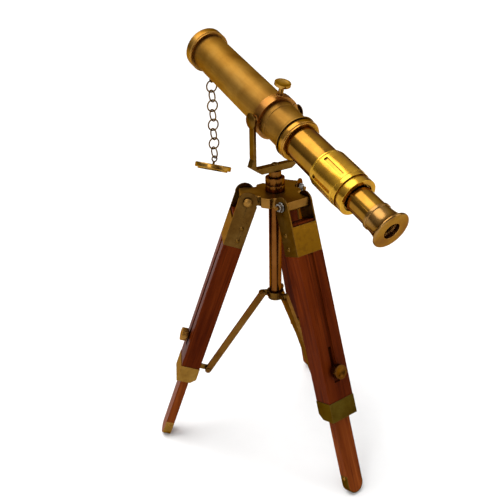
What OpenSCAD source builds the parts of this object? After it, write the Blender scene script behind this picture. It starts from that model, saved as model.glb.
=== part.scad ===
// Small brass telescope on a folding wooden tripod.
// Origin: on the floor, under the axis of the centre column. +Z is up.
// The telescope points along +Y and upward; one leg stands under the eyepiece.

/* [Tripod head] */
// Height of the leg hinge pins above the floor
hinge_height = 236; // [230:1:250]
// Distance of each hinge pin from the column axis
hinge_radius = 24; // [24:0.5:26]
// Thickness of the three-lugged head plate
plate_t = 8.4; // [8:0.2:9]
// Lean of each open leg away from vertical
leg_lean = 19.5; // [18:0.5:20]
// Turn of the three legs about the column, under the swivel
leg_turn = 3; // [0:1:6]

/* [Legs] */
// Width of an upper leg across the tripod
leg_w = 25.4; // [25:0.2:27]
// Thickness of an upper leg along its lean
leg_t = 16.6; // [16:0.2:18]
// Distance from the hinge pin to the lower end of the upper leg
upper_leg_len = 181; // [178:1:184]
// Width of a sliding lower leg
lower_leg_w = 16; // [15:0.5:17]
// Thickness of a sliding lower leg
lower_leg_t = 7.6; // [7:0.2:8]
// Thickness of the sheet brass on the legs
sheet_t = 1.2; // [1:0.1:1.4]

/* [Telescope] */
// Height of the tilt axis above the floor
tilt_height = 302; // [300:1:306]
// Elevation of the telescope
elevation = 21; // [10:1:30]
// Outer radius of the main barrel
barrel_r = 16; // [16:0.1:16.4]
// Outer radius of the draw tube
draw_r = 13.7; // [13.5:0.1:13.8]
// Outer radius of the eyepiece tube
eye_tube_r = 10.2; // [10:0.1:10.4]
// Distance from the tilt axis to the front end
front_z = 115.5; // [112:0.5:118]
// Distance from the tilt axis back to the eye cup's rim
rim_z = -142; // [-144:0.5:-140]

/* [Chain] */
// Mean radius of a chain link
link_r = 5.15; // [5:0.05:5.3]
// Radius of the chain wire
wire_r = 0.7; // [0.6:0.05:0.75]
// Tilt of the hanging lens cap to its right
cap_tilt_side = 20; // [0:1:25]
// Tilt of the hanging lens cap towards its front
cap_tilt_front = 9; // [0:1:15]

/* [Hidden] */
$fn = 64;
legs = ["rear", "left", "right"];
lug_az = [-90, 150, 30];
leg_az = [for (az = lug_az) az + leg_turn];
leg_parts = ["leg_bracket", "bracket_rivets", "upper_leg", "lower_ferrule", "strut_tab",
             "lower_leg", "foot_strip", "foot_rivet", "leg_knob", "strut"];
NODES = concat(
    ["head_plate", "hinge_bolts", "hinge_nuts", "swivel_socket",
     "centre_column", "column_stop", "spreader_hub", "swivel_stem", "yoke", "yoke_screw",
     "trunnion_screws", "trunnion_washers", "clamp_collar", "clamp_screw", "main_barrel",
     "objective_ring", "objective_cell", "objective_lens", "rear_ring", "chain_eye",
     "draw_tube", "focus_sleeve", "sleeve_end_ring", "eyepiece_tube", "eye_cup", "eye_lens",
     "chain_upper", "chain_lower", "lens_cap", "cap_loop"],
    [for (part = leg_parts, leg = legs) str(part, "_", leg)]);
node = "all";

// Running clearance of a pin or tube that turns or slides
run = 0.05;
// Gap between two parts that pass each other without touching
gap = 0.3;
eps = 0.01;

// Leg geometry, in leg coordinates: +X faces outward, Y across, -Z down the leg
leg_out = leg_t * 0.475;
leg_in = leg_out - leg_t;
bracket_top = 17;
bracket_end = 41;
wood_top = 15;
ferrule_len = 16;
ferrule_wall = 1.2;
ferrule_play = 0.35;
ferrule_in = leg_in - ferrule_play;
cheek_r = 8.2;
rivet_x = -2.6;
rivet_z = [-23.5, -35];
rivet_r = 1.1;
lug_w = leg_w - 2 * sheet_t - 2 * gap;
pin_r = 1.6;
groove_w = 5.6;
groove_depth = 1.6;
knob_z = -140;
knob_shaft_r = 1.7;
slot_len = 17;
// The lower leg's channel inside the upper leg
bar_out = 3.2;
bar_in = bar_out - lower_leg_t;
bar_play = 0.25;
channel_top = 48;
bar_top = 98;
// Distance down the leg to the rounded end, whose inner edge is trimmed level on the floor
foot_trim = 0.55;
bar_end = (hinge_height + bar_in * sin(leg_lean) + foot_trim) / cos(leg_lean);
foot_end_r = lower_leg_w / 2;
strip_t = 0.8;
foot_rivet_r = 0.9;

// Spreader
hub_z = 145;
hub_arm_r = 12;
hub_r = 7.4;
hub_t = 4.6;
column_r = 5.4;
arm_eye_r = 2.7;
tab_x = -19;
tab_z = -170;
strut_w = 5.6;
strut_t = 3;
strut_pin_r = 1.2;
lap = 0.9;

// Head plate and swivel
plate_z = hinge_height + 4.4;
plate_r = 21.2;
socket_r = 8;
socket_h = 12;
stem_r = 5.1;
yoke_base_z = 257.5;
yoke_base_t = 5.5;
yoke_w = 6.5;
yoke_screw_r = 1.5;
yoke_screw_depth = 8;
arm_in = 19.9;
arm_out = 22.4;
trunnion_r = 1.8;
trunnion_head_r = 6.2;

// Telescope stations along its own axis, from the tilt axis
collar_half = 3.7;
collar_r = 19;
ring_z = 105.8;
ring_r = 18.6;
barrel_front_z = 111;
barrel_bore_r = 14.9;
rear_step_z = -9;
rear_tube_r = 15.5;
bead_z = -29.5;
rear_ring_z = -36.6;
rear_bead_r = 17.7;
sleeve_z = [-98.5, -68.6];
sleeve_r = [15.4, 14.8];
end_ring_z = -105.8;
cup_z = -126;
cup_r = 14.5;
eye_hole_r = 6.4;
chain_z = 96.5;

// Chain: links hang from the eye under the barrel
link_pitch = 2 * (link_r - wire_r) - 0.1;
link_gap = 2 * wire_r + 0.1;
eye_r = 2.4;
eye_drop = 5.5;
eye_post_r = 0.8;
upper_links = 4;
lower_links = 4;
eye_y = chain_z * cos(elevation) + (barrel_r + eye_drop) * sin(elevation);
eye_z = tilt_height + chain_z * sin(elevation) - (barrel_r + eye_drop) * cos(elevation);
first_link_z = eye_z - eye_r + link_gap - link_r;
cap_loop_r = 2.6;
cap_gap = link_gap + 0.1;
cap_pivot_z = first_link_z - (upper_links + lower_links - 1) * link_pitch - link_r;
cap_r = 17.2;
cap_t = 4.8;
cap_round = 1.2;
cap_plug_r = 14.2;
cap_plug_h = 1.2;
cap_neck = 2.4;

function on(name) = node == "all" || node == name;

// ---------- shared shapes ----------

// A tube from z0 to z1, with outer and inner radius
module tube(z0, z1, outer, inner) {
    translate([0, 0, z0]) difference() {
        cylinder(h = z1 - z0, r = outer);
        translate([0, 0, -1]) cylinder(h = z1 - z0 + 2, r = inner);
    }
}

// A ring of round wire about the Z axis
module wire_ring(ring, wire) {
    rotate_extrude() translate([ring, 0]) circle(r = wire, $fn = 24);
}

// A plate in the XZ plane, centred on Y, with its outline given as polygon points
module side_plate(points, thick) {
    rotate([90, 0, 0]) translate([0, 0, -thick / 2]) linear_extrude(thick) polygon(points);
}

// A cylinder along Y, centred
module cross_pin(r, length) {
    rotate([90, 0, 0]) cylinder(h = length, r = r, center = true);
}

module leg_frame(az) {
    rotate([0, 0, az]) translate([hinge_radius, 0, hinge_height]) rotate([0, -leg_lean, 0])
        children();
}

module telescope_frame() {
    translate([0, 0, tilt_height]) rotate([elevation - 90, 0, 0]) children();
}

// ---------- tripod head ----------

module lug(len, width, height) {
    translate([0, -width / 2, 0]) cube([len, width, height]);
}

// Notch beside a lug that clears the bracket's cheek, with a rounded inner corner
module cheek_notch() {
    corner = 3;
    x = hinge_radius - cheek_r - 2.2;
    translate([x + corner, lug_w / 2, -1]) cube([20, 20, plate_t + 2]);
    translate([x, lug_w / 2 + corner, -1]) cube([20, 20, plate_t + 2]);
    translate([x + corner, lug_w / 2 + corner, -1]) cylinder(h = plate_t + 2, r = corner);
}

module head_plate() color("darkgoldenrod") rotate([0, 0, leg_turn]) difference() {
    translate([0, 0, plate_z - plate_t]) union() {
        difference() {
            cylinder(h = plate_t, r = plate_r);
            for (az = lug_az, side = [0, 1]) rotate([0, 0, az]) mirror([0, side, 0])
                cheek_notch();
        }
        for (az = lug_az) rotate([0, 0, az]) lug(hinge_radius + 5, lug_w, plate_t);
    }
    translate([0, 0, plate_z - plate_t - 1]) cylinder(h = plate_t + 2, r = stem_r + run);
    for (az = lug_az) rotate([0, 0, az]) translate([hinge_radius, 0, hinge_height])
        cross_pin(pin_r, leg_w);
    // Rounded ends of the lugs, so the brackets can turn round them
    for (az = lug_az) rotate([0, 0, az]) translate([hinge_radius + 5, 0, plate_z - plate_t])
        rotate([0, 45, 0]) cube([2.4, leg_w, 2.4], center = true);
}

// Domed bolt head and shank; the nut is on the other side
module hinge_bolt() {
    head_y = leg_w / 2 + 0.1;
    shank = leg_w + 5.4;
    translate([0, head_y - shank, 0]) rotate([-90, 0, 0]) cylinder(h = shank, r = pin_r);
    translate([0, head_y, 0]) rotate([-90, 0, 0]) intersection() {
        cylinder(h = 3.2, r = 3.7);
        translate([0, 0, -2.1]) sphere(r = 5.3);
    }
}

module hinge_bolts() color("peru")
    for (az = leg_az) rotate([0, 0, az]) translate([hinge_radius, 0, hinge_height]) hinge_bolt();

module hinge_nuts() color("silver")
    for (az = leg_az) rotate([0, 0, az]) translate([hinge_radius, -leg_w / 2 - 0.2, hinge_height])
        rotate([90, 0, 0]) difference() {
            union() {
                cylinder(h = 0.8, r = 4.1);
                cylinder(h = 3.2, r = 3.5, $fn = 6);
            }
            translate([0, 0, -1]) cylinder(h = 6, r = pin_r);
        }

module swivel_socket() color("chocolate") translate([0, 0, plate_z]) difference() {
    union() {
        cylinder(h = socket_h / 2 - 0.3, r = socket_r);
        cylinder(h = socket_h, r = socket_r - 0.5);
        translate([0, 0, socket_h / 2 + 0.3]) cylinder(h = socket_h / 2 - 0.3, r = socket_r);
    }
    translate([0, 0, -1]) cylinder(h = socket_h + 2, r = stem_r + run);
}

module centre_column() color("peru")
    tube(hub_z - hub_t / 2 - 1, plate_z - plate_t, column_r, column_r - 1.2);

module column_stop() color("peru") translate([0, 0, hub_z - hub_t / 2 - 2.6]) difference() {
    union() {
        cylinder(h = 1.6, r = column_r + 1);
        cylinder(h = 6, r = column_r - 1.2);
    }
    translate([0, 0, -0.5]) cylinder(h = 1.1, r = 1.2);
}

// ---------- swivel and yoke ----------

module swivel_stem() color("chocolate") {
    foot_z = plate_z - plate_t + 1;
    difference() {
        translate([0, 0, foot_z]) cylinder(h = yoke_base_z - foot_z, r = stem_r);
        translate([0, 0, yoke_base_z - yoke_screw_depth]) cylinder(h = 10, r = yoke_screw_r);
    }
}

// Half outline of the yoke: base bar, flared corner and one upright arm
function yoke_half() = [
    [0, yoke_base_z], [14.6, yoke_base_z], [arm_out + 2.4, 264.6],
    [arm_out, 271], [arm_out, tilt_height], [arm_in, tilt_height],
    [arm_in, yoke_base_z + yoke_base_t], [0, yoke_base_z + yoke_base_t]];

module yoke() color("olive") difference() {
    union() {
        for (side = [0, 1]) mirror([side, 0, 0]) {
            side_plate(yoke_half(), yoke_w);
            translate([arm_in, 0, tilt_height]) rotate([0, 90, 0])
                cylinder(h = arm_out - arm_in, r = 4.4);
        }
    }
    translate([0, 0, tilt_height]) rotate([0, 90, 0])
        cylinder(h = 60, r = trunnion_r, center = true);
    translate([0, 0, yoke_base_z - 1]) cylinder(h = 10, r = yoke_screw_r);
}

module yoke_screw() color("dimgray") {
    translate([0, 0, yoke_base_z - yoke_screw_depth])
        cylinder(h = yoke_base_t + yoke_screw_depth, r = yoke_screw_r);
    translate([0, 0, yoke_base_z + yoke_base_t]) difference() {
        intersection() {
            cylinder(h = 1.6, r = 2.9);
            translate([0, 0, -3.2]) sphere(r = 4.8);
        }
        translate([0, 0, 1.5]) cube([8, 0.8, 1.6], center = true);
    }
}

// Each screw has a large domed head outside the arm and a pivot shank in the collar's boss
module trunnion_screws() color("olive")
    for (side = [0, 1]) mirror([side, 0, 0]) translate([0, 0, tilt_height]) rotate([0, 90, 0]) {
        translate([0, 0, collar_r - 2.2]) cylinder(h = arm_out - collar_r + 2.2, r = trunnion_r);
        translate([0, 0, arm_out]) intersection() {
            cylinder(h = 2.8, r = trunnion_head_r);
            translate([0, 0, -8]) sphere(r = 10.7);
        }
    }

module trunnion_washers() color("goldenrod")
    for (side = [0, 1]) mirror([side, 0, 0]) translate([0, 0, tilt_height]) rotate([0, 90, 0])
        translate([0, 0, arm_in - 0.5]) difference() {
            cylinder(h = 0.5, r = 4.6);
            translate([0, 0, -1]) cylinder(h = 3, r = trunnion_r);
        }

// ---------- telescope ----------

module clamp_collar() color("peru") telescope_frame() difference() {
    union() {
        translate([0, 0, -collar_half]) cylinder(h = 2 * collar_half, r = collar_r);
        for (side = [-1, 1]) translate([side * 17, 0, 0]) rotate([0, side * 90, 0])
            cylinder(h = arm_in - 0.6 - 17, r = 4.2);
        translate([0, -17, 0]) rotate([90, 0, 0]) cylinder(h = 3.2, r = 3);
    }
    translate([0, 0, -10]) cylinder(h = 20, r = barrel_r + run);
    rotate([0, 90, 0]) cylinder(h = 60, r = trunnion_r + run, center = true);
    rotate([90, 0, 0]) cylinder(h = 30, r = knob_shaft_r + run);
    // The clamp is split on its upper left
    rotate([0, 0, 50]) translate([-0.4, -30, -10]) cube([0.8, 30, 20]);
}

module clamp_screw() color("goldenrod") telescope_frame() rotate([90, 0, 0]) difference() {
    union() {
        translate([0, 0, barrel_r + 0.2]) cylinder(h = 12, r = knob_shaft_r);
        translate([0, 0, barrel_r + 4.8]) cylinder(h = 7, r = 2.1);
        translate([0, 0, barrel_r + 10]) cylinder(h = 2, r1 = 2.1, r2 = 6.1);
        translate([0, 0, barrel_r + 12]) cylinder(h = 2, r = 6.5);
    }
    translate([0, 0, barrel_r + 12 + 17.2]) sphere(r = 16);
}

module main_barrel() color("darkgoldenrod") telescope_frame() difference() {
    union() {
        tube(rear_step_z, barrel_front_z, barrel_r, barrel_bore_r);
        tube(bead_z - 2, rear_step_z, rear_tube_r, draw_r + run);
        // Concave flare up to the bead at the rear
        difference() {
            tube(bead_z, bead_z + 4, rear_bead_r, draw_r + run);
            translate([0, 0, bead_z + 4]) rotate_extrude() translate([rear_tube_r + 3, 0])
                circle(r = 3);
            tube(bead_z + 1, bead_z + 5, rear_bead_r + 2, rear_tube_r + 2.2);
        }
    }
    rotate([-90, 0, 0]) translate([0, -chain_z, 0]) cylinder(h = 30, r = eye_post_r);
}

module objective_ring() color("goldenrod") telescope_frame() difference() {
    union() {
        tube(ring_z, front_z - 1, ring_r, barrel_bore_r + 0.2);
        translate([0, 0, front_z - 1.4]) wire_ring(ring_r - 1.4, 1.4);
        tube(front_z - 1.4, front_z, ring_r - 1.4, ring_r - 2.8);
    }
    translate([0, 0, ring_z - 1]) cylinder(h = barrel_front_z - ring_z + 1, r = barrel_r);
    translate([0, 0, ring_z + 1.6]) rotate_extrude() translate([ring_r + 0.3, 0])
        circle(r = 0.8, $fn = 24);
}

module objective_cell() color("dimgray") telescope_frame() difference() {
    tube(100, barrel_front_z, barrel_bore_r - eps, 12.6);
    translate([0, 0, 104]) cylinder(h = 4, r = 14);
    translate([0, 0, 107]) cylinder(h = 6, r = 13.6);
}

// Biconvex lens: two arcs of radius face_r from the axis to the rim
function lens_arc(rim_r, face_r) = [for (k = [0:5]) let (a = asin(rim_r / face_r) * k / 5)
    [face_r * sin(a), face_r * (cos(a) - 1)]];

module lens(z_mid, rim_r, face_r, thick) {
    arc = lens_arc(rim_r, face_r);
    translate([0, 0, z_mid]) rotate_extrude() polygon(concat(
        [for (k = [5:-1:0]) [arc[k][0], -arc[k][1] - thick / 2]],
        [for (p = arc) [p[0], p[1] + thick / 2]]));
}

module objective_lens() color("lightblue") telescope_frame() lens(106, 13.95, 60, 3.9);

module rear_ring() color("goldenrod") telescope_frame() union() {
    tube(bead_z - 5.6, bead_z - 2, rear_bead_r - 0.4, draw_r + run);
    tube(bead_z - 2.6, bead_z - 1.2, rear_bead_r - 1.4, rear_tube_r);
    tube(rear_ring_z, bead_z - 5.6, rear_bead_r - 1.1, draw_r + run);
}

module chain_eye() color("saddlebrown") {
    translate([0, eye_y, eye_z]) rotate([0, 90, 0]) wire_ring(eye_r, wire_r);
    telescope_frame() rotate([-90, 0, 0]) translate([0, -chain_z, barrel_bore_r])
        cylinder(h = barrel_r + eye_drop - eye_r - barrel_bore_r + 0.1, r = eye_post_r);
}

module draw_tube() color("peru") telescope_frame() tube(sleeve_z[1] - 18, 14, draw_r, draw_r - 0.8);

// Six long panels stand round the sleeve, each with an engraved slot
module focus_sleeve() color("gold") telescope_frame() difference() {
    union() {
        translate([0, 0, sleeve_z[0]])
            cylinder(h = sleeve_z[1] - sleeve_z[0], r1 = sleeve_r[0], r2 = sleeve_r[1]);
        translate([0, 0, sleeve_z[0] + 3.6])
            cylinder(h = sleeve_z[1] - sleeve_z[0] - 6.4, r = sleeve_r[0] + 0.25);
    }
    translate([0, 0, sleeve_z[0] - 1])
        cylinder(h = sleeve_z[1] - sleeve_z[0] + 2, r = draw_r + eps);
    for (k = [0:5]) rotate([0, 0, 27 + 60 * k]) {
        translate([-1.6, -sleeve_r[0] - 2, sleeve_z[0] + 5.6]) cube([3.2, 3.1, 20]);
    }
    translate([0, 0, sleeve_z[1] - 1.6]) rotate_extrude() translate([sleeve_r[1] + 0.3, 0])
        circle(r = 0.6, $fn = 24);
}

module sleeve_end_ring() color("goldenrod") telescope_frame() difference() {
    union() {
        tube(sleeve_z[0] - 2.2, sleeve_z[0], sleeve_r[0] - 1, eye_tube_r + run);
        tube(end_ring_z, sleeve_z[0] - 2.2, sleeve_r[0] - 0.3, eye_tube_r + run);
    }
    translate([0, 0, end_ring_z - 1]) cylinder(h = 3, r = eye_tube_r + 1.3);
}

module eyepiece_tube() color("peru") telescope_frame()
    tube(cup_z - 1, -60, eye_tube_r, eye_tube_r - 0.8);

// Trumpet profile from the tube to the rim, as a quarter-round sweep
flare_steps = 10;
function flare() = [for (k = [0:flare_steps]) let (a = 90 * k / flare_steps)
    [cup_r - (cup_r - eye_tube_r - 0.3) * sin(a),
     rim_z + 1.6 + (cup_z - 1.6 - rim_z - 1.6) * (1 - cos(a))]];

module eye_cup() color("goldenrod") telescope_frame() difference() {
    union() {
        rotate_extrude() polygon(concat([[0, rim_z], [cup_r - 0.6, rim_z], [cup_r, rim_z + 0.6]],
                                        flare(), [[0, cup_z - 1.6]]));
        translate([0, 0, cup_z - 1.6]) cylinder(h = 2.4, r = eye_tube_r + 0.9);
    }
    translate([0, 0, rim_z - 1]) cylinder(h = 4.4, r = eye_hole_r);
    translate([0, 0, rim_z + 3.4 - eps]) cylinder(h = 30, r = 5);
    translate([0, 0, rim_z + 9]) cylinder(h = 30, r = eye_tube_r - 0.8);
    translate([0, 0, cup_z - 1]) cylinder(h = 5, r = eye_tube_r);
}

module eye_lens() color("lightblue") telescope_frame() lens(rim_z + 6.5, 5, 14, 3);

// ---------- chain and lens cap ----------

// Links n0 to n1, counted down from the eye; neighbours stand at right angles
module links(n0, n1) {
    for (n = [n0:n1]) translate([0, eye_y, first_link_z - n * link_pitch])
        rotate([0, 0, n % 2 == 0 ? 0 : 90]) rotate([90, 0, 0]) wire_ring(link_r, wire_r);
}

module chain_upper() color("saddlebrown") links(0, upper_links - 1);

module chain_lower() color("saddlebrown") links(upper_links, upper_links + lower_links - 1);

// The loop and cap turn about the bottom wire of the last link
module cap_frame() {
    translate([0, eye_y, cap_pivot_z]) rotate([-cap_tilt_front, cap_tilt_side, 0])
        translate([0, 0, cap_gap - cap_loop_r]) children();
}

module cap_loop() color("saddlebrown") cap_frame() {
    rotate([90, 0, 0]) wire_ring(cap_loop_r, wire_r);
    translate([0, 0, -cap_loop_r - cap_neck]) cylinder(h = cap_neck, r = 1.1);
}

// A thick disc with a rounded edge and a short hollow plug for the objective ring's mouth
module lens_cap() color("goldenrod") cap_frame() translate([0, 0, -cap_loop_r - cap_neck - cap_t]) {
    translate([0, 0, cap_round]) cylinder(h = cap_t - 2 * cap_round, r = cap_r);
    cylinder(h = cap_t, r = cap_r - cap_round);
    for (z = [cap_round, cap_t - cap_round]) translate([0, 0, z])
        wire_ring(cap_r - cap_round, cap_round);
    tube(-cap_plug_h, 0.2, cap_plug_r, cap_plug_r - 1.3);
}

// ---------- legs ----------

module box(x0, x1, y_half, z0, z1) {
    translate([x0, -y_half, z0]) cube([x1 - x0, 2 * y_half, z1 - z0]);
}

module leg_bracket() color("darkkhaki") difference() {
    union() {
        // Two cheeks with round tops about the hinge
        for (side = [-1, 1]) translate([0, side * (leg_w - sheet_t) / 2, 0]) {
            cross_pin(cheek_r, sheet_t);
            box(leg_in, leg_out, sheet_t / 2, -bracket_end, -2);
        }
        box(leg_out - sheet_t, leg_out, leg_w / 2, -bracket_end, -bracket_top);
    }
    cross_pin(pin_r + run, leg_w + 2);
    for (side = [-1, 1], z = rivet_z) translate([rivet_x, side * leg_w / 2, z])
        cross_pin(rivet_r, 4);
}

module bracket_rivets() color("goldenrod")
    for (side = [0, 1]) mirror([0, side, 0]) for (z = rivet_z)
        translate([rivet_x, leg_w / 2 - sheet_t, z]) rotate([-90, 0, 0]) {
            cylinder(h = sheet_t, r = rivet_r);
            translate([0, 0, sheet_t]) intersection() {
                cylinder(h = 1, r = 1.9);
                translate([0, 0, -1.6]) sphere(r = 2.5);
            }
        }

module upper_leg() color("sienna") difference() {
    union() {
        box(leg_in, leg_out, leg_w / 2, -upper_leg_len + ferrule_len, -bracket_end);
        // Reduced under the bracket and inside the ferrule
        box(leg_in, leg_out - sheet_t, leg_w / 2 - sheet_t, -bracket_end - eps, -wood_top);
        box(leg_in + ferrule_wall, leg_out - ferrule_wall, leg_w / 2 - ferrule_wall,
            -upper_leg_len + 1.5, -upper_leg_len + ferrule_len + eps);
    }
    box(bar_in - bar_play, bar_out + bar_play, lower_leg_w / 2 + bar_play,
        -upper_leg_len - 1, -channel_top);
    box(leg_out - groove_depth, leg_out + 1, groove_w / 2, -150, -bracket_end);
    // Open slot above the knob, through to the channel
    box(bar_out, leg_out + 1, groove_w / 2 - 0.8, knob_z + 3, knob_z + 3 + slot_len);
    translate([0, 0, knob_z]) rotate([0, 90, 0]) cylinder(h = 20, r = knob_shaft_r + run);
    // Chamfer matching the ferrule's lower inner corner
    translate([leg_in, 0, -upper_leg_len]) rotate([0, 45, 0])
        cube([8.6, leg_w + 2, 8.6], center = true);
}

module lower_ferrule() color("darkkhaki") difference() {
    box(ferrule_in, leg_out + ferrule_play, leg_w / 2 + ferrule_play,
        -upper_leg_len, -upper_leg_len + ferrule_len);
    difference() {
        box(leg_in + ferrule_wall, leg_out - ferrule_wall, leg_w / 2 - ferrule_wall,
            -upper_leg_len + 1.5, -upper_leg_len + ferrule_len + 1);
        translate([leg_in, 0, -upper_leg_len]) rotate([0, 45, 0])
            cube([8.6, leg_w + 2, 8.6], center = true);
    }
    box(bar_in - bar_play, bar_out + bar_play, lower_leg_w / 2 + bar_play,
        -upper_leg_len - 1, -upper_leg_len + ferrule_len + 2);
    translate([ferrule_in, 0, -upper_leg_len]) rotate([0, 45, 0])
        cube([6.4, leg_w + 4, 6.4], center = true);
}

// Plate on the ferrule's inner face with one upright lug for the strut
module strut_tab() color("olive") mirror([0, 1, 0]) difference() {
    union() {
        box(ferrule_in - 1.2, ferrule_in, 5, tab_z - 5.5, tab_z + 4.5);
        translate([0, lap, 0]) {
            box(tab_x, ferrule_in, lap, tab_z - 1.8, tab_z + 3);
            translate([tab_x, 0, tab_z]) cross_pin(3, 2 * lap);
        }
    }
    translate([tab_x, 0, tab_z]) cross_pin(strut_pin_r + run, 20);
}

// A bar along the leg with a rounded end, as thick as the lower leg plus some margin
module round_bar(r, margin, top) {
    end_z = -bar_end + foot_end_r;
    box(bar_in - margin, bar_out + margin, r, end_z, top);
    translate([bar_in - margin, 0, end_z]) rotate([0, 90, 0])
        cylinder(h = lower_leg_t + 2 * margin, r = r);
}

strip_top = -bar_end + foot_end_r + 9;

module foot_rivet_hole() {
    translate([(bar_in + bar_out) / 2, 0, strip_top - 2.6]) cross_pin(foot_rivet_r, 20);
}

module lower_leg() color("sienna") difference() {
    union() {
        round_bar(foot_end_r - strip_t, 0, strip_top + eps);
        box(bar_in, bar_out, foot_end_r, strip_top, -bar_top);
    }
    foot_rivet_hole();
}

// Brass strip bent round the foot's end
module foot_strip() color("darkkhaki") difference() {
    round_bar(foot_end_r, 0, strip_top);
    round_bar(foot_end_r - strip_t, 1, strip_top + 1);
    foot_rivet_hole();
}

// One rivet right through the strip and the foot, with a domed head each side
module foot_rivet() color("goldenrod")
    translate([(bar_in + bar_out) / 2, 0, strip_top - 2.6]) {
        cross_pin(foot_rivet_r, 2 * foot_end_r + 0.2);
        for (side = [0, 1]) mirror([0, side, 0]) translate([0, foot_end_r, 0])
            rotate([-90, 0, 0]) intersection() {
                cylinder(h = 0.7, r = 1.6);
                translate([0, 0, -1.7]) sphere(r = 2.4);
            }
    }

// Everything above the floor; the sloping feet are trimmed level
module above_floor() {
    intersection() {
        children();
        translate([-200, -200, 0]) cube([400, 400, 400]);
    }
}

module leg_knob() color("goldenrod") translate([0, 0, knob_z]) rotate([0, 90, 0]) {
    translate([0, 0, bar_out + 0.15]) cylinder(h = leg_out + 2 - bar_out, r = knob_shaft_r);
    translate([0, 0, leg_out + gap]) cylinder(h = 2, r = 3.4);
    difference() {
        translate([0, 0, leg_out + gap + 1.6]) cylinder(h = 5.4, r = 5.9);
        for (k = [0:23]) rotate([0, 0, 15 * k]) translate([6.2, 0, leg_out])
            cylinder(h = 12, r = 0.55, $fn = 16);
        translate([0, 0, leg_out + gap + 1.6 + 5.4 + 13.4]) sphere(r = 14);
    }
}

// Strut geometry in the leg frame's XZ plane, from the tab up to the hub's arm
hub_dx = hub_arm_r - hinge_radius;
hub_dz = hub_z - hinge_height;
hub_x = hub_dx * cos(leg_lean) + hub_dz * sin(leg_lean);
hub_up = -hub_dx * sin(leg_lean) + hub_dz * cos(leg_lean);
strut_len = norm([hub_x - tab_x, hub_up - tab_z]);
strut_tilt = atan2(hub_x - tab_x, hub_up - tab_z);

module strut() color("darkgoldenrod") mirror([0, 1, 0]) translate([tab_x, -gap - strut_t / 2, tab_z]) {
    rotate([0, strut_tilt, 0]) {
        box(-strut_w / 2, strut_w / 2, strut_t / 2, 0, strut_len);
        for (z = [0, strut_len]) translate([0, 0, z]) cross_pin(strut_w / 2, strut_t);
        // Rivet heads on the strut's outer face
        for (z = [0, strut_len]) translate([0, -strut_t / 2, z]) rotate([90, 0, 0])
            cylinder(h = 0.8, r = 1.9);
    }
    translate([0, strut_t / 2, 0]) rotate([-90, 0, 0])
        cylinder(h = 2 * gap + 2 * lap, r = strut_pin_r);
    translate([0, strut_t / 2 + 2 * gap + 2 * lap, 0]) rotate([-90, 0, 0])
        cylinder(h = 0.8, r = 1.9);
}

// Sliding hub: a round boss and three arms, each with a lug beside its strut
module spreader_hub() color("olive") difference() {
    union() {
        translate([0, 0, hub_z - hub_t / 2]) cylinder(h = hub_t, r = hub_r);
        for (az = leg_az) rotate([0, 0, az]) mirror([0, 1, 0]) translate([0, lap, hub_z]) {
            translate([4, -lap, -arm_eye_r]) cube([hub_arm_r - 4, 2 * lap, 2 * arm_eye_r]);
            translate([hub_arm_r, 0, 0]) cross_pin(arm_eye_r, 2 * lap);
            translate([hub_arm_r, lap, 0]) rotate([-90, 0, 0]) cylinder(h = 0.8, r = 1.9);
        }
    }
    translate([0, 0, hub_z - 10]) cylinder(h = 20, r = column_r + run);
}

// ---------- assembly ----------

if (on("head_plate")) head_plate();
if (on("hinge_bolts")) hinge_bolts();
if (on("hinge_nuts")) hinge_nuts();
if (on("swivel_socket")) swivel_socket();
if (on("centre_column")) centre_column();
if (on("column_stop")) column_stop();
if (on("spreader_hub")) spreader_hub();
if (on("swivel_stem")) swivel_stem();
if (on("yoke")) yoke();
if (on("yoke_screw")) yoke_screw();
if (on("trunnion_screws")) trunnion_screws();
if (on("trunnion_washers")) trunnion_washers();
if (on("clamp_collar")) clamp_collar();
if (on("clamp_screw")) clamp_screw();
if (on("main_barrel")) main_barrel();
if (on("objective_ring")) objective_ring();
if (on("objective_cell")) objective_cell();
if (on("objective_lens")) objective_lens();
if (on("rear_ring")) rear_ring();
if (on("chain_eye")) chain_eye();
if (on("draw_tube")) draw_tube();
if (on("focus_sleeve")) focus_sleeve();
if (on("sleeve_end_ring")) sleeve_end_ring();
if (on("eyepiece_tube")) eyepiece_tube();
if (on("eye_cup")) eye_cup();
if (on("eye_lens")) eye_lens();
if (on("chain_upper")) chain_upper();
if (on("chain_lower")) chain_lower();
if (on("lens_cap")) lens_cap();
if (on("cap_loop")) cap_loop();
for (k = [0:2]) {
    if (on(str("leg_bracket_", legs[k]))) leg_frame(leg_az[k]) leg_bracket();
    if (on(str("bracket_rivets_", legs[k]))) leg_frame(leg_az[k]) bracket_rivets();
    if (on(str("upper_leg_", legs[k]))) leg_frame(leg_az[k]) upper_leg();
    if (on(str("lower_ferrule_", legs[k]))) leg_frame(leg_az[k]) lower_ferrule();
    if (on(str("strut_tab_", legs[k]))) leg_frame(leg_az[k]) strut_tab();
    if (on(str("lower_leg_", legs[k]))) above_floor() leg_frame(leg_az[k]) lower_leg();
    if (on(str("foot_strip_", legs[k]))) above_floor() leg_frame(leg_az[k]) foot_strip();
    if (on(str("foot_rivet_", legs[k]))) leg_frame(leg_az[k]) foot_rivet();
    if (on(str("leg_knob_", legs[k]))) leg_frame(leg_az[k]) leg_knob();
    if (on(str("strut_", legs[k]))) leg_frame(leg_az[k]) strut();
}
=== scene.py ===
"""Studio scene for the small brass telescope on its folding wooden tripod."""

import math

import bpy
from mathutils import Matrix, Vector

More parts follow.
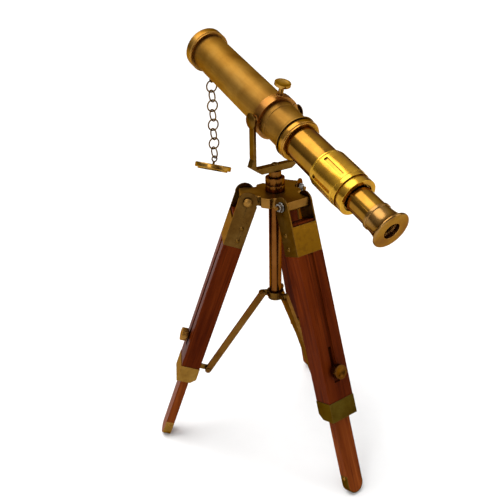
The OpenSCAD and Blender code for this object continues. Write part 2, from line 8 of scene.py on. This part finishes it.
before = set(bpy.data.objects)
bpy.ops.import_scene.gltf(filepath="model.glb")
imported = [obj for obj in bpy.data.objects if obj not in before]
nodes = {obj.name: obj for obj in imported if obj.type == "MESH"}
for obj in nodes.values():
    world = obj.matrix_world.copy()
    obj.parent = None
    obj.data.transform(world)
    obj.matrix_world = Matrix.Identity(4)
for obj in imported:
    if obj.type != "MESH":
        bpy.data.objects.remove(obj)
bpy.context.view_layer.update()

MM = 0.001
LEG_AZIMUTH = {"rear": -87.0, "left": 153.0, "right": 33.0}
LEG_LEAN = 19.5
ELEVATION = 21.0
# Hinge pin of a leg: distance from the column axis, and height
HINGE_RADIUS = 0.024
HINGE_HEIGHT = 0.236


# ---------- camera ----------

def make_camera():
    """Camera at the viewing angle of the product picture: left front, looking down."""
    yaw, pitch, roll = math.radians(-29.83), math.radians(23.99), math.radians(-2.36)
    forward = Vector((-math.sin(yaw) * math.cos(pitch),
                      math.cos(yaw) * math.cos(pitch),
                      -math.sin(pitch)))
    level = Vector((math.cos(yaw), math.sin(yaw), 0.0))
    above = level.cross(forward)
    right = math.cos(roll) * level + math.sin(roll) * above
    up = -math.sin(roll) * level + math.cos(roll) * above
    data = bpy.data.cameras.new("camera")
    data.sensor_width = 36.0
    data.lens = 47.69
    data.shift_x, data.shift_y = 0.0628, -0.0320
    data.clip_start, data.clip_end = 0.02, 20.0
    camera = bpy.data.objects.new("camera", data)
    camera.matrix_world = Matrix((
        (right.x, up.x, -forward.x, -0.2959),
        (right.y, up.y, -forward.y, -0.4198),
        (right.z, up.z, -forward.z, 0.4307),
        (0.0, 0.0, 0.0, 1.0)))
    bpy.context.scene.collection.objects.link(camera)
    bpy.context.scene.camera = camera


# ---------- material tools ----------

class Graph:
    """Short way to build a material's node tree."""

    def __init__(self, name):
        self.material = bpy.data.materials.new(name)
        self.material.use_nodes = True
        self.tree = self.material.node_tree
        self.shader = self.tree.nodes["Principled BSDF"]

    def node(self, kind, inputs=None, **settings):
        made = self.tree.nodes.new(kind)
        for key, value in settings.items():
            setattr(made, key, value)
        for key, value in (inputs or {}).items():
            if isinstance(value, bpy.types.NodeSocket):
                self.tree.links.new(value, made.inputs[key])
            else:
                made.inputs[key].default_value = value
        return made

    def place(self, scale=(1, 1, 1), turns=()):
        """Object coordinates, turned step by step and then stretched."""
        out = self.node("ShaderNodeTexCoord").outputs["Object"]
        for turn in turns:
            out = self.node("ShaderNodeMapping",
                            {"Vector": out, "Rotation": turn}).outputs[0]
        return self.node("ShaderNodeMapping", {"Vector": out, "Scale": scale}).outputs[0]

    def noise(self, where, scale, detail=4.0, rough=0.55, warp=0.0):
        return self.node("ShaderNodeTexNoise",
                         {"Vector": where, "Scale": scale, "Detail": detail,
                          "Roughness": rough, "Distortion": warp}).outputs["Fac"]

    def ramp(self, value, stops):
        made = self.node("ShaderNodeValToRGB", {"Fac": value})
        points = made.color_ramp.elements
        while len(points) < len(stops):
            points.new(0.5)
        for point, (at, colour) in zip(points, stops):
            point.position = at
            point.color = (*colour, 1.0)
        return made.outputs["Color"]

    def span(self, value, low, high, to_low, to_high):
        return self.node("ShaderNodeMapRange",
                         {"Value": value, "From Min": low, "From Max": high,
                          "To Min": to_low, "To Max": to_high}).outputs[0]

    def mix(self, factor, a, b, blend="MIX"):
        made = self.node("ShaderNodeMix", data_type="RGBA", blend_type=blend)
        for index, value in ((0, factor), (6, a), (7, b)):
            if isinstance(value, bpy.types.NodeSocket):
                self.tree.links.new(value, made.inputs[index])
            else:
                made.inputs[index].default_value = (
                    value if index == 0 else (*value, 1.0))
        return made.outputs[2]

    def crevice(self, distance):
        """1 in the open, 0 in corners and gaps: the mask for painted shade."""
        return self.node("ShaderNodeAmbientOcclusion", {"Distance": distance},
                         samples=6).outputs["AO"]

    def edge(self, radius, low=0.004, high=0.08):
        """1 on outer edges, from how far a rounded normal differs from the true one."""
        soft = self.node("ShaderNodeBevel", {"Radius": radius}, samples=4).outputs[0]
        true = self.node("ShaderNodeNewGeometry").outputs["Normal"]
        dot = self.node("ShaderNodeVectorMath", {0: soft, 1: true},
                        operation="DOT_PRODUCT").outputs["Value"]
        return self.span(dot, 1.0 - low, 1.0 - high, 0.0, 1.0)

    def bump(self, height, strength, distance):
        return self.node("ShaderNodeBump", {"Height": height, "Strength": strength,
                                            "Distance": distance}).outputs[0]

    def finish(self, **sockets):
        for key, value in sockets.items():
            name = key.replace("_", " ")
            if isinstance(value, bpy.types.NodeSocket):
                self.tree.links.new(value, self.shader.inputs[name])
            else:
                self.shader.inputs[name].default_value = value
        return self.material


BARREL_TURN = (math.radians(90.0 - ELEVATION), 0.0, 0.0)


def leg_turns(azimuth):
    """Turns that bring a leg's own frame onto the object axes."""
    return ((0.0, 0.0, math.radians(-azimuth)), (0.0, math.radians(LEG_LEAN), 0.0))


def shades(base, contrast):
    """Darker, redder and lighter, yellower versions of a metal colour."""
    dark = (base[0] * (1 - contrast), base[1] * (1 - 1.2 * contrast),
            base[2] * (1 - 1.3 * contrast))
    light = (min(base[0] * (1 + 0.8 * contrast), 0.95), min(base[1] * (1 + 1.2 * contrast), 0.85),
             min(base[2] * (1 + 2.2 * contrast), 0.6))
    return dark, light


def brass(name, base, rough=(0.18, 0.34), patina=40.0, contrast=0.3, grain=(1, 1, 1),
          turns=(), crevice=0.003, pits=0.06, rub_and_highlight=0.4, panel=None, lacquer=0.0):
    """Aged brass: cloudy colour, fine scratches, painted shade darkening the corners, and lighter
    edges that are partly rubbed wear and partly a painted highlight.
    """
    g = Graph(name)
    flat = g.place()
    dark, light = shades(base, contrast)
    cloud = g.noise(flat, patina, 5.0, 0.55, 0.3)
    colour = g.ramp(cloud, [(0.32, dark), (0.50, base), (0.70, light)])
    if panel:
        colour = panel(g, colour)
    lines = g.noise(g.place(grain, turns), 240.0, 4.0, 0.6)
    colour = g.mix(g.span(lines, 0.50, 0.72, 0.0, 0.45 * min(1.0, 2.2 * contrast)), colour, dark)
    speck = g.noise(flat, 520.0, 2.0, 0.6)
    colour = g.mix(g.span(speck, 0.62, 0.74, 0.0, 0.5 * contrast), colour,
                   tuple(c * 0.4 for c in dark))
    # Painted shade: corners and gaps darkened where the occlusion mask finds them
    colour = g.mix(g.span(g.crevice(crevice), 0.35, 0.95, 0.85, 0.0),
                   colour, tuple(c * 0.22 for c in dark))
    # Lighter edges: partly rubbed wear, partly a painted highlight on the rims
    edge = g.span(g.edge(0.0005), 0.0, 1.0, 0.0, rub_and_highlight)
    colour = g.mix(edge, colour, tuple(min(0.75, c * 1.9 + 0.02) for c in base))
    roughness = g.span(g.mix(0.5, cloud, lines), 0.35, 0.65, *rough)
    return g.finish(Base_Color=colour, Roughness=roughness, Metallic=1.0,
                    Specular_Tint=(0.62, 0.42, 0.16, 1.0),
                    Coat_Weight=lacquer, Coat_Roughness=0.10,
                    Normal=g.bump(g.mix(0.5, lines, speck), pits, 0.0002))


def wood(name, azimuth, base):
    """Dark varnished hardwood with the grain running down the leg."""
    g = Graph(name)
    turns = leg_turns(azimuth)
    dark, light = shades(base, 0.62)
    broad = g.noise(g.place((1.0, 1.0, 0.06), turns), 150.0, 5.0, 0.6, 1.2)
    pores = g.noise(g.place((1.0, 1.0, 0.025), turns), 900.0, 3.0, 0.7)
    patch = g.noise(g.place((1.0, 1.0, 0.4), turns), 20.0, 3.0, 0.5)
    colour = g.ramp(broad, [(0.30, dark), (0.52, base), (0.76, light)])
    colour = g.mix(g.span(patch, 0.40, 0.66, 0.0, 0.55), colour, dark)
    colour = g.mix(g.span(pores, 0.56, 0.72, 0.0, 0.6), colour,
                   tuple(c * 0.35 for c in dark))
    # Painted shade: corners and gaps darkened where the occlusion mask finds them
    colour = g.mix(g.span(g.crevice(0.004), 0.35, 1.0, 0.8, 0.0), colour,
                   tuple(c * 0.2 for c in dark))
    colour = g.mix(g.span(g.edge(0.0008), 0.0, 1.0, 0.0, 0.35), colour, light)
    return g.finish(Base_Color=colour, Roughness=g.span(broad, 0.3, 0.7, 0.32, 0.46),
                    IOR=1.08, Specular_IOR_Level=0.4,
                    Normal=g.bump(g.mix(0.6, broad, pores), 0.18, 0.0003))


def steel(name):
    g = Graph(name)
    cloud = g.noise(g.place(), 140.0, 5.0, 0.6)
    colour = g.ramp(cloud, [(0.35, (0.10, 0.085, 0.07)), (0.65, (0.36, 0.34, 0.31))])
    # Painted shade: corners and gaps darkened where the occlusion mask finds them
    colour = g.mix(g.span(g.crevice(0.002), 0.4, 1.0, 0.85, 0.0), colour,
                   (0.02, 0.015, 0.01))
    return g.finish(Base_Color=colour, Roughness=g.span(cloud, 0.3, 0.7, 0.22, 0.42),
                    Metallic=1.0, Normal=g.bump(cloud, 0.1, 0.0001))


def glass(name):
    g = Graph(name)
    haze = g.noise(g.place(), 90.0, 4.0, 0.6)
    return g.finish(Base_Color=(0.82, 0.88, 0.90, 1.0), Transmission_Weight=1.0, IOR=1.52,
                    Roughness=g.span(haze, 0.3, 0.7, 0.01, 0.05))


def blackened(name):
    g = Graph(name)
    cloud = g.noise(g.place(), 300.0, 4.0, 0.6)
    colour = g.ramp(cloud, [(0.3, (0.010, 0.009, 0.008)), (0.7, (0.030, 0.026, 0.022))])
    return g.finish(Base_Color=colour, Roughness=g.span(cloud, 0.3, 0.7, 0.6, 0.8),
                    Normal=g.bump(cloud, 0.1, 0.0001))


# ---------- which node has which finish ----------

# Stretches noise into fine lines along the Z axis
ALONG = (1.0, 1.0, 0.08)
GOLD_PANEL = (0.165, 0.072, 0.004)
# Where the gold begins and is full, outward from the hinge pin
PLATE_FACE = (0.0074, 0.0078)


def gold_panel(azimuth):
    """Colours a bracket's outward plate gold and leaves its cheeks as they are."""
    def paint(g, colour):
        own = g.place((1, 1, 1), leg_turns(azimuth))
        across = g.node("ShaderNodeSeparateXYZ", {0: own}).outputs["X"]
        lean = math.radians(LEG_LEAN)
        hinge = HINGE_RADIUS * math.cos(lean) + HINGE_HEIGHT * math.sin(lean)
        face = g.span(across, hinge + PLATE_FACE[0], hinge + PLATE_FACE[1], 0.0, 1.0)
        return g.mix(face, colour, GOLD_PANEL)
    return paint


def make_finishes():
    """Material for each CAD node, keyed by node name."""
    turned = dict(grain=ALONG, turns=(BARREL_TURN,))
    barrel = brass("barrel_brass", (0.258, 0.127, 0.022), (0.46, 0.58), 30.0, 0.32,
                   pits=0.05, **turned)
    collar = brass("collar_brass", (0.265, 0.110, 0.020), (0.26, 0.40), 60.0, 0.25,
                   rub_and_highlight=0.7, lacquer=0.1, **turned)
    tubes = brass("tube_brass", (0.255, 0.120, 0.011), (0.13, 0.26), 40.0, 0.32,
                  rub_and_highlight=0.5, lacquer=0.12, **turned)
    ring = brass("ring_bronze", (0.290, 0.140, 0.026), (0.28, 0.42), 50.0, 0.28,
                 rub_and_highlight=0.9, **turned)
    rear = brass("rear_ring_brass", (0.320, 0.150, 0.022), (0.18, 0.32), 60.0, 0.25,
                 rub_and_highlight=0.7, **turned)
    # Wider reach of the painted shade, so the sleeve's slots read darker
    sleeve = brass("sleeve_brass", (0.480, 0.245, 0.014), (0.18, 0.30), 60.0, 0.26,
                   crevice=0.0035, lacquer=0.25, pits=0.04, rub_and_highlight=0.7, **turned)
    cup = brass("cup_bronze", (0.220, 0.108, 0.024), (0.16, 0.28), 60.0, 0.30,
                rub_and_highlight=1.0, lacquer=0.1, **turned)
    cap = brass("cap_bronze", (0.320, 0.165, 0.030), (0.20, 0.34), 90.0, 0.30, rub_and_highlight=0.8)
    plate = brass("plate_brass", (0.220, 0.105, 0.020), (0.34, 0.46), 50.0, 0.25, rub_and_highlight=0.7)
    column = brass("column_brass", (0.140, 0.048, 0.009), (0.18, 0.30), 45.0, 0.35,
                   ALONG)
    copper = brass("stem_brass", (0.110, 0.040, 0.006), (0.16, 0.28), 70.0, 0.30, rub_and_highlight=0.7)
    olive = brass("olive_brass", (0.110, 0.052, 0.008), (0.26, 0.42), 85.0, 0.35, rub_and_highlight=0.7)
    # Painted shade: darker copy of the shoe brass for the rear leg, which faces the camera
    shoe_shaded = brass("shoe_shaded_olive", (0.064, 0.038, 0.0045), (0.30, 0.44), 75.0, 0.35, rub_and_highlight=0.7)
    shoe_gold = brass("shoe_gold", (0.200, 0.102, 0.018), (0.28, 0.42), 75.0, 0.30, rub_and_highlight=0.6)
    brace = brass("brace_brass", (0.125, 0.054, 0.009), (0.28, 0.42), 60.0, 0.30, rub_and_highlight=0.6)
    knob = brass("knob_brass", (0.230, 0.105, 0.018), (0.20, 0.34), 90.0, 0.30, rub_and_highlight=0.8)
    # Painted shade: darker copy of the knob brass for the rear leg
    knob_shaded = brass("knob_brass_shaded", (0.100, 0.036, 0.004), (0.22, 0.36), 90.0, 0.35, rub_and_highlight=0.6)
    bronze = brass("chain_bronze", (0.130, 0.068, 0.016), (0.28, 0.42), 160.0, 0.4, rub_and_highlight=0.6)
    finishes = {}

    def give(material, *names):
        for name in names:
            finishes[name] = material

    give(barrel, "main_barrel")
    give(collar, "clamp_collar", "trunnion_washers")
    give(tubes, "draw_tube", "eyepiece_tube")
    give(ring, "objective_ring")
    give(rear, "rear_ring")
    give(sleeve, "focus_sleeve", "sleeve_end_ring")
    give(cup, "eye_cup")
    give(cap, "clamp_screw", "lens_cap")
    give(plate, "head_plate", "hinge_bolts")
    give(column, "centre_column")
    give(olive, "yoke", "trunnion_screws", "spreader_hub", "column_stop")
    give(copper, "swivel_stem", "swivel_socket")
    give(bronze, "chain_eye", "chain_upper", "chain_lower", "cap_loop", "yoke_screw")
    give(steel("nut_steel"), "hinge_nuts")
    give(glass("lens_glass"), "objective_lens", "eye_lens")
    give(blackened("cell_black"), "objective_cell")
    for leg, azimuth in LEG_AZIMUTH.items():
        bracket = brass("bracket_" + leg, (0.080, 0.037, 0.0065), (0.26, 0.40), 85.0, 0.35,
                        rub_and_highlight=0.8, panel=gold_panel(azimuth))
        give(bracket, "leg_bracket_" + leg)
        give(wood("wood_upper_" + leg, azimuth, (0.102, 0.0150, 0.0012)), "upper_leg_" + leg)
        give(wood("wood_lower_" + leg, azimuth, (0.170, 0.035, 0.0045)), "lower_leg_" + leg)
        # The rear leg's ferrule, foot strip and knob get the darker copies as painted shade
        shaded_leg = leg == "rear"
        give(shoe_shaded if shaded_leg else shoe_gold, "lower_ferrule_" + leg, "foot_strip_" + leg)
        give(knob_shaded if shaded_leg else knob, "leg_knob_" + leg)
        give(olive, "strut_tab_" + leg, "bracket_rivets_" + leg)
        give(knob, "foot_rivet_" + leg)
        give(brace, "strut_" + leg)
    return finishes


# ---------- edges ----------

# Width of the rounded edge on each kind of node, in millimetres
EDGE = {"head_plate": 0.5, "yoke": 0.5, "leg_bracket": 0.25, "lower_ferrule": 0.6,
        "upper_leg": 0.7, "lower_leg": 0.5, "foot_strip": 0.2, "strut": 0.3,
        "strut_tab": 0.3, "hinge_nuts": 0.25, "spreader_hub": 0.35, "clamp_collar": 0.35,
        "leg_knob": 0.15, "trunnion_screws": 0.3, "swivel_socket": 0.4, "lens_cap": 0.3,
        "main_barrel": 0.15, "objective_ring": 0.2, "rear_ring": 0.25,
        "focus_sleeve": 0.2, "sleeve_end_ring": 0.25, "eye_cup": 0.2, "clamp_screw": 0.2,
        "column_stop": 0.2, "draw_tube": 0.1, "centre_column": 0.1}


def soften(name, piece):
    """Welds the mesh and, for the kinds listed in EDGE, rounds its sharp edges."""
    weld = piece.modifiers.new("weld", "WELD")
    weld.merge_threshold = 0.000002
    stem = name
    for leg in LEG_AZIMUTH:
        stem = stem.removesuffix("_" + leg)
    if stem in EDGE:
        bevel = piece.modifiers.new("edge", "BEVEL")
        bevel.width = EDGE[stem] * MM
        bevel.segments = 3
        bevel.limit_method = "ANGLE"
        bevel.angle_limit = math.radians(32.0)
        bevel.use_clamp_overlap = True
        bevel.harden_normals = False


# ---------- studio ----------

def area_light(name, place, target, size, power, tint=(1.0, 1.0, 1.0)):
    data = bpy.data.lights.new(name, "AREA")
    data.shape = "RECTANGLE"
    data.size, data.size_y = size
    data.energy = power
    data.color = tint
    light = bpy.data.objects.new(name, data)
    light.location = place
    light.rotation_mode = "QUATERNION"
    light.rotation_quaternion = (Vector(target) - Vector(place)).to_track_quat("-Z", "Y")
    bpy.context.scene.collection.objects.link(light)


def make_studio():
    g = Graph("floor_paper")
    fibre = g.noise(g.place(), 30.0, 3.0, 0.5)
    paper = g.finish(
        Base_Color=g.ramp(fibre, [(0.3, (0.88, 0.88, 0.88)), (0.7, (0.90, 0.90, 0.90))]),
        Roughness=0.9, Specular_IOR_Level=0.1)
    half = 30.0
    mesh = bpy.data.meshes.new("floor")
    mesh.from_pydata([(-half, -half, 0), (half, -half, 0), (half, half, 0),
                      (-half, half, 0)], [], [(0, 1, 2, 3)])
    mesh.materials.append(paper)
    floor = bpy.data.objects.new("floor", mesh)
    bpy.context.scene.collection.objects.link(floor)

    # Sky of the studio: bright overhead, dim walls
    world = bpy.data.worlds.new("studio")
    bpy.context.scene.world = world
    world.use_nodes = True
    tree = world.node_tree
    direction = tree.nodes.new("ShaderNodeTexCoord").outputs["Generated"]
    split = tree.nodes.new("ShaderNodeSeparateXYZ")
    tree.links.new(direction, split.inputs[0])
    ramp = tree.nodes.new("ShaderNodeValToRGB")
    tree.links.new(split.outputs["Z"], ramp.inputs["Fac"])
    walls, ceiling = ramp.color_ramp.elements
    walls.position, walls.color = 0.12, (0.16, 0.15, 0.14, 1.0)
    ceiling.position, ceiling.color = 0.85, (0.85, 0.85, 0.85, 1.0)
    tree.links.new(ramp.outputs["Color"], tree.nodes["Background"].inputs["Color"])
    tree.nodes["Background"].inputs["Strength"].default_value = 1.0

    data = bpy.data.lights.new("ceiling", "SUN")
    data.energy = 2.2
    data.angle = math.radians(50.0)
    ceiling_light = bpy.data.objects.new("ceiling", data)
    ceiling_light.rotation_mode = "QUATERNION"
    ceiling_light.rotation_quaternion = Vector((0.25, -0.30, -0.92)).to_track_quat("-Z", "Y")
    bpy.context.scene.collection.objects.link(ceiling_light)

    middle = (0.0, 0.0, 0.2)
    area_light("key", (-1.1, -0.7, 0.9), middle, (0.5, 0.9), 6.0)
    area_light("fill", (0.9, -1.1, 0.8), middle, (0.6, 0.9), 3.5)


# ---------- build ----------

make_camera()
finishes = make_finishes()
for name, piece in nodes.items():
    piece.data.materials.clear()
    piece.data.materials.append(finishes[name])
    soften(name, piece)
make_studio()

bpy.context.scene.view_settings.view_transform = "Standard"
